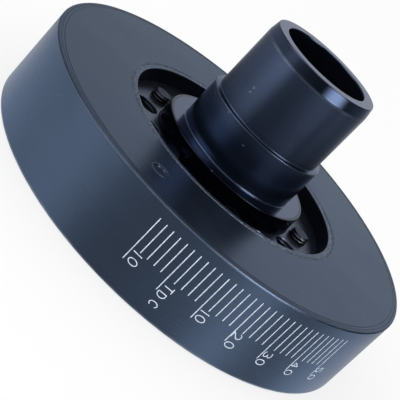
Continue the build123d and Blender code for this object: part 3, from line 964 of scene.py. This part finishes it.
# %% Room
world = bpy.data.worlds.new("room")
bpy.context.scene.world = world
world.use_nodes = True
sky = world.node_tree
direction = joined(sky, "TexCoord").outputs["Generated"]
apart = joined(sky, "SeparateXYZ", {0: direction}).outputs
rise = apart["Z"]
near = round_the_room(sky, apart, [
    (-180, 1.15), (-155, 1.15), (-139, 1.08), (-122, 0.97), (-105, 0.77), (-92, 0.72), (-79, 0.75),
    (-70, 0.8), (-62, 0.84), (-53, 0.63), (-40, 0.33), (-26, 0.26), (0, 0.32), (20, 0.33), (30, 0.36),
    (38, 0.56), (48, 1.1), (56, 1.08), (67, 0.44), (80, 0.34), (92, 0.52), (105, 1.0), (118, 1.25),
    (130, 1.15), (142, 1.05), (180, 1.15)])
far = round_the_room(sky, apart, [
    (-180, 0.38), (-150, 0.3), (-131, 0.38), (-115, 0.52), (-99, 0.58), (-82, 0.8), (-66, 1.0), (-52, 0.95),
    (-33, 0.3), (-17, 0.22), (0, 0.24), (16, 0.36), (33, 0.48), (49, 0.47), (65, 0.3), (82, 0.36),
    (98, 0.25), (114, 0.23), (130, 0.26), (147, 0.4), (180, 0.38)])
walls = round_the_room(sky, apart, [
    (-180, 0.66), (-175, 0.66), (-168, 0.5), (-150, 0.36), (-130, 0.28), (-100, 0.34), (-60, 0.28),
    (-35, 0.15), (-15, 0.06), (0, 0.05), (25, 0.02), (45, 0.03), (80, 0.07), (110, 0.06), (130, 0.16),
    (145, 0.5), (155, 0.74), (172, 0.76), (180, 0.66)])
past_rim = mixed(sky, 1.0, far, between(sky, rise, -0.277, -0.230, 0.3, 1.2), "MULTIPLY")
around = mixed(sky, between(sky, rise, -0.33, -0.285), near, past_rim)
around = mixed(sky, between(sky, rise, -0.12, 0.03), around, walls)
for start, stop, grey in ((0.4, 0.55, 0.12), (0.68, 0.84, 0.62)):
    around = mixed(sky, between(sky, rise, start, stop), around, (grey, grey, grey))
print("room of", len(sky.nodes), "nodes")

# %% Glows, and who sees the room
GLOWS = [(47.0, 5.0, 0.1, 0.5, 3.0, 3.8), (-62.0, 22.0, 0.1, 0.6, 1.6, 1.7),
         (74.0, 55.5, 0.1, 0.25, 1.0, 5.5)]
MATT_SKY, WHITE = (0.95, 0.95, 0.95), (1, 1, 1)
for glow in GLOWS:
    around = glow_of(sky, direction, *glow, around)
rays = joined(sky, "LightPath").outputs
plain_room = mixed(sky, rays["Is Glossy Ray"], MATT_SKY, around)
background = sky.nodes["Background"]
sky.links.new(mixed(sky, rays["Is Camera Ray"], plain_room, WHITE), background.inputs["Color"])
background.inputs["Strength"].default_value = 1.0
print("glows", len(GLOWS))

# %% [markdown]
# ## The table
# The table is a matt pale plane that takes the object's soft shadow. Its colour is lifted to white for
# the camera, and glossy rays pass through it to the pools of the room, which stand for the lit table.

# %% Table
SPAN, TABLE_TOP, LIFT = 6.0, -0.0002, 0.75
floor_mesh = bpy.data.meshes.new("floor")
corners = [(-SPAN, -SPAN), (SPAN, -SPAN), (SPAN, SPAN), (-SPAN, SPAN)]
floor_mesh.from_pydata([(*corner, TABLE_TOP) for corner in corners], [], [(0, 1, 2, 3)])
floor = placed("floor", floor_mesh)
table = Finish("pale_table", rough=0.9)
given = table.shader.inputs
given["Base Color"].default_value = (0.9, 0.9, 0.9, 1)
given["Roughness"].default_value = table.rough
given["Specular IOR Level"].default_value = 0.0
glow = joined(table.tree, "Emission", {"Color": (*WHITE, 1), "Strength": 1.0})
clear = joined(table.tree, "BsdfTransparent")
paths = joined(table.tree, "LightPath").outputs
lifted = sums(table.tree, "MULTIPLY", paths["Is Camera Ray"], LIFT)
to_camera = joined(table.tree, "MixShader", {0: lifted, 1: table.shader.outputs[0], 2: glow.outputs[0]})
to_gloss = joined(table.tree, "MixShader", {0: paths["Is Glossy Ray"], 1: to_camera.outputs[0],
                                            2: clear.outputs[0]})
table.tree.links.new(to_gloss.outputs[0], table.tree.nodes["Material Output"].inputs["Surface"])
floor_mesh.materials.append(table.material)
print("table", 2 * SPAN, "m wide")


# %% [markdown]
# ## The lamps
# Two soft boxes stand low on the right and a little higher on the left. They light the matt paint and
# cast the shadow. Their mirror images are the round glows in the room instead, because a lamp's own
# rectangle would show as a hard patch on the polished tube.

# %% Lamps
AIM = Vector((0, 0, 0.03))


def soft_lamp(name, bearing, rise, distance, wide, tall, brightness):
    """Rectangular lamp aimed at the object, brightness being what a mirror would show of it."""
    data = bpy.data.lights.new(name, "AREA")
    data.shape = "RECTANGLE"
    data.size, data.size_y = wide, tall
    data.energy = brightness * math.pi * wide * tall
    lamp = placed(name, data)
    away = towards(bearing, rise)
    lamp.location = away * distance + AIM
    lamp.rotation_euler = away.to_track_quat("Z", "Y").to_euler()
    lamp.visible_glossy = False


soft_lamp("right_lamp", 47.0, 8.0, 0.9, 0.6, 0.26, 3.8)
soft_lamp("left_lamp", -62.0, 24.0, 0.9, 0.6, 0.4, 3.0)
bpy.context.scene.view_settings.view_transform = "Standard"
